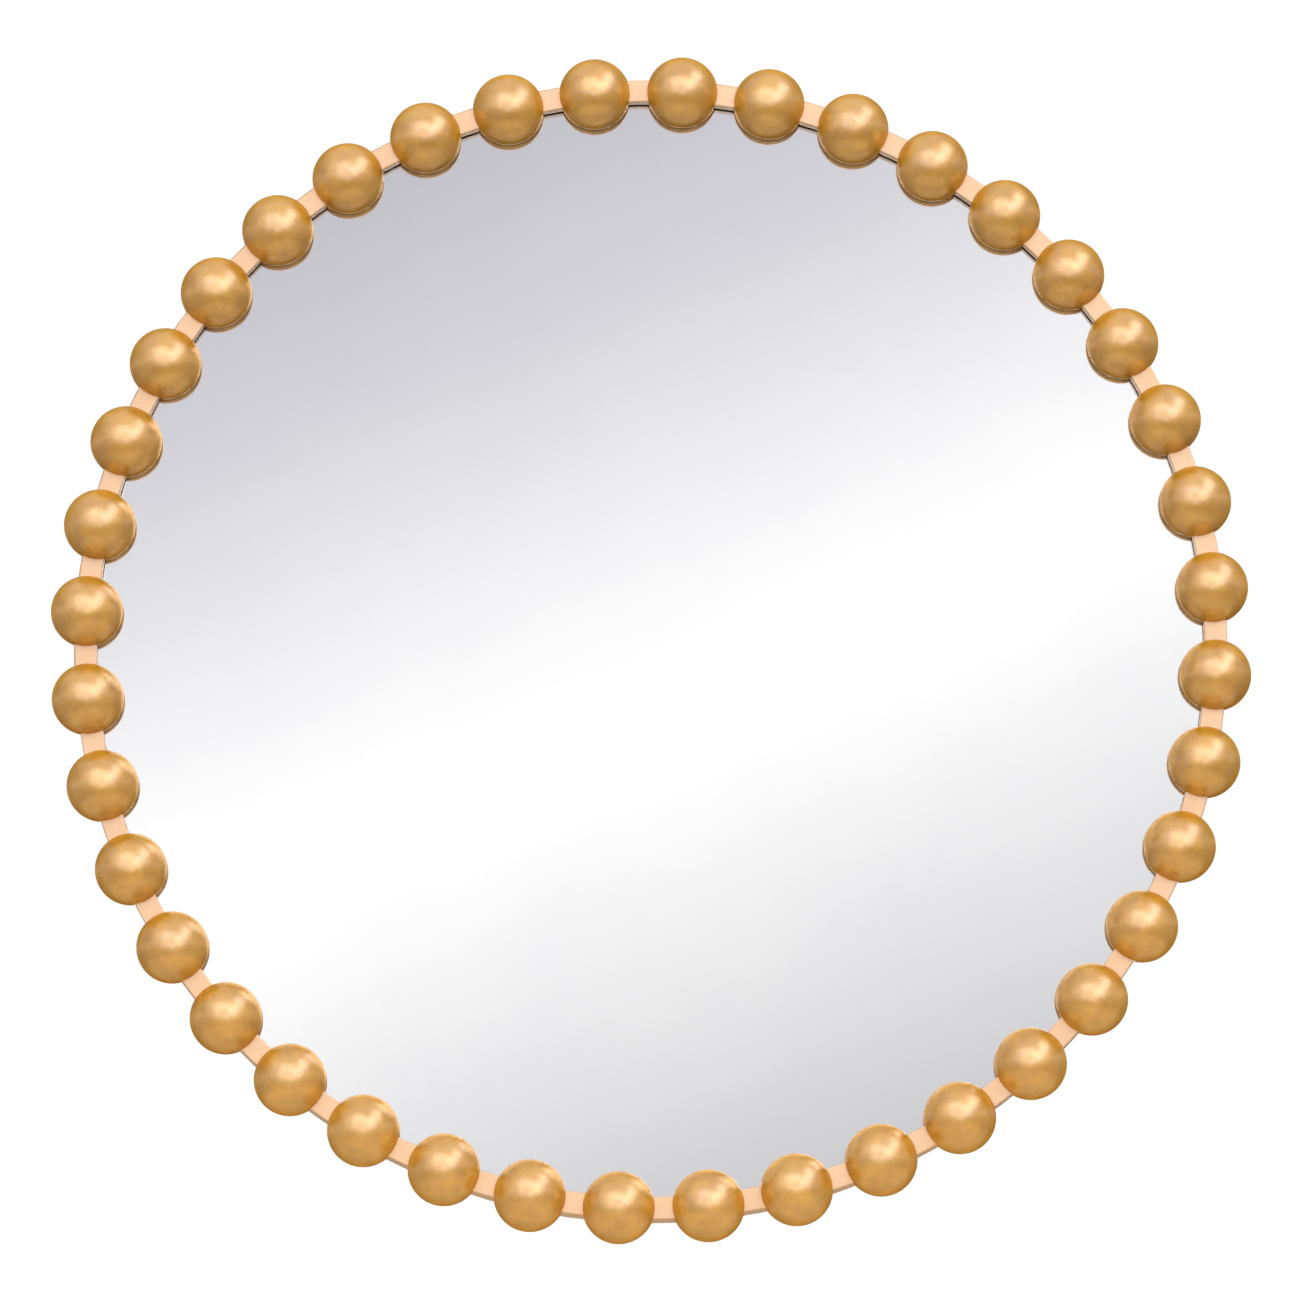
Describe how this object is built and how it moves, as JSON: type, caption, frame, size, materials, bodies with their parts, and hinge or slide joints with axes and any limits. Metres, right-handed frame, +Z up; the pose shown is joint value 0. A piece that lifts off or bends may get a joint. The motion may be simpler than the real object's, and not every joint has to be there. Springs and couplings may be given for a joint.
{
  "type": "round wall mirror",
  "caption": "Round wall mirror in a slim gold channel ring with gold half-ball beads all round it, a backing board behind the glass and D-ring hangers on its back.",
  "frame": {"origin": "centre of the ring on the wall plane, at the ring's rear edge", "axes": "+X to the right as seen from the room, +Y into the wall, +Z up"},
  "size_m": [0.6082, 0.0402, 0.6082],
  "materials": {
    "gold_metal": "satin gold lacquer on a rolled steel channel",
    "gold_bead": "satin gold lacquer on cast resin",
    "mirror": "clear float glass, silvered on the back",
    "brown_foam": "matt brown closed-cell foam",
    "white_foam": "matt foam tape",
    "painted_board": "matt black painted fibreboard",
    "plated_steel": "bright zinc plate on sheet steel",
    "plated_wire": "bright nickel plate on steel wire",
    "screw_steel": "bright zinc plate"
  },
  "bodies": {
    "mirror_body": {"frame_ring": "gold_metal", "bead_screws": "screw_steel", "glass_gasket": "brown_foam", "mirror_glass": "mirror", "bonding_tape": "white_foam", "backing_board": "painted_board", "clip_screws": "screw_steel", "hanger_screws": "screw_steel", "hanger_strap_left": "plated_steel", "hanger_strap_right": "plated_steel", "bead_01": "gold_bead", "bead_02": "gold_bead", "bead_03": "gold_bead", "bead_04": "gold_bead", "bead_05": "gold_bead", "bead_06": "gold_bead", "bead_07": "gold_bead", "bead_08": "gold_bead", "bead_09": "gold_bead", "bead_10": "gold_bead", "bead_11": "gold_bead", "bead_12": "gold_bead", "bead_13": "gold_bead", "bead_14": "gold_bead", "bead_15": "gold_bead", "bead_16": "gold_bead", "bead_17": "gold_bead", "bead_18": "gold_bead", "bead_19": "gold_bead", "bead_20": "gold_bead", "bead_21": "gold_bead", "bead_22": "gold_bead", "bead_23": "gold_bead", "bead_24": "gold_bead", "bead_25": "gold_bead", "bead_26": "gold_bead", "bead_27": "gold_bead", "bead_28": "gold_bead", "bead_29": "gold_bead", "bead_30": "gold_bead", "bead_31": "gold_bead", "bead_32": "gold_bead", "bead_33": "gold_bead", "bead_34": "gold_bead", "bead_35": "gold_bead", "bead_36": "gold_bead", "bead_37": "gold_bead", "bead_38": "gold_bead", "bead_39": "gold_bead", "bead_40": "gold_bead", "board_clip_1": "plated_steel", "board_clip_2": "plated_steel", "board_clip_3": "plated_steel", "board_clip_4": "plated_steel", "board_clip_5": "plated_steel", "board_clip_6": "plated_steel"},
    "d_ring_left": {"d_ring_left": "plated_wire"},
    "d_ring_right": {"d_ring_right": "plated_wire"}
  },
  "joints": [
    {"name": "d_ring_left_swing", "type": "hinge", "parent": "mirror_body", "child": "d_ring_left", "pos_m": [-0.15, -0.00305, 0.14], "axis": [1, 0, 0], "range_deg": [0, 180]},
    {"name": "d_ring_right_swing", "type": "hinge", "parent": "mirror_body", "child": "d_ring_right", "pos_m": [0.15, -0.00305, 0.14], "axis": [1, 0, 0], "range_deg": [0, 180]}
  ]
}
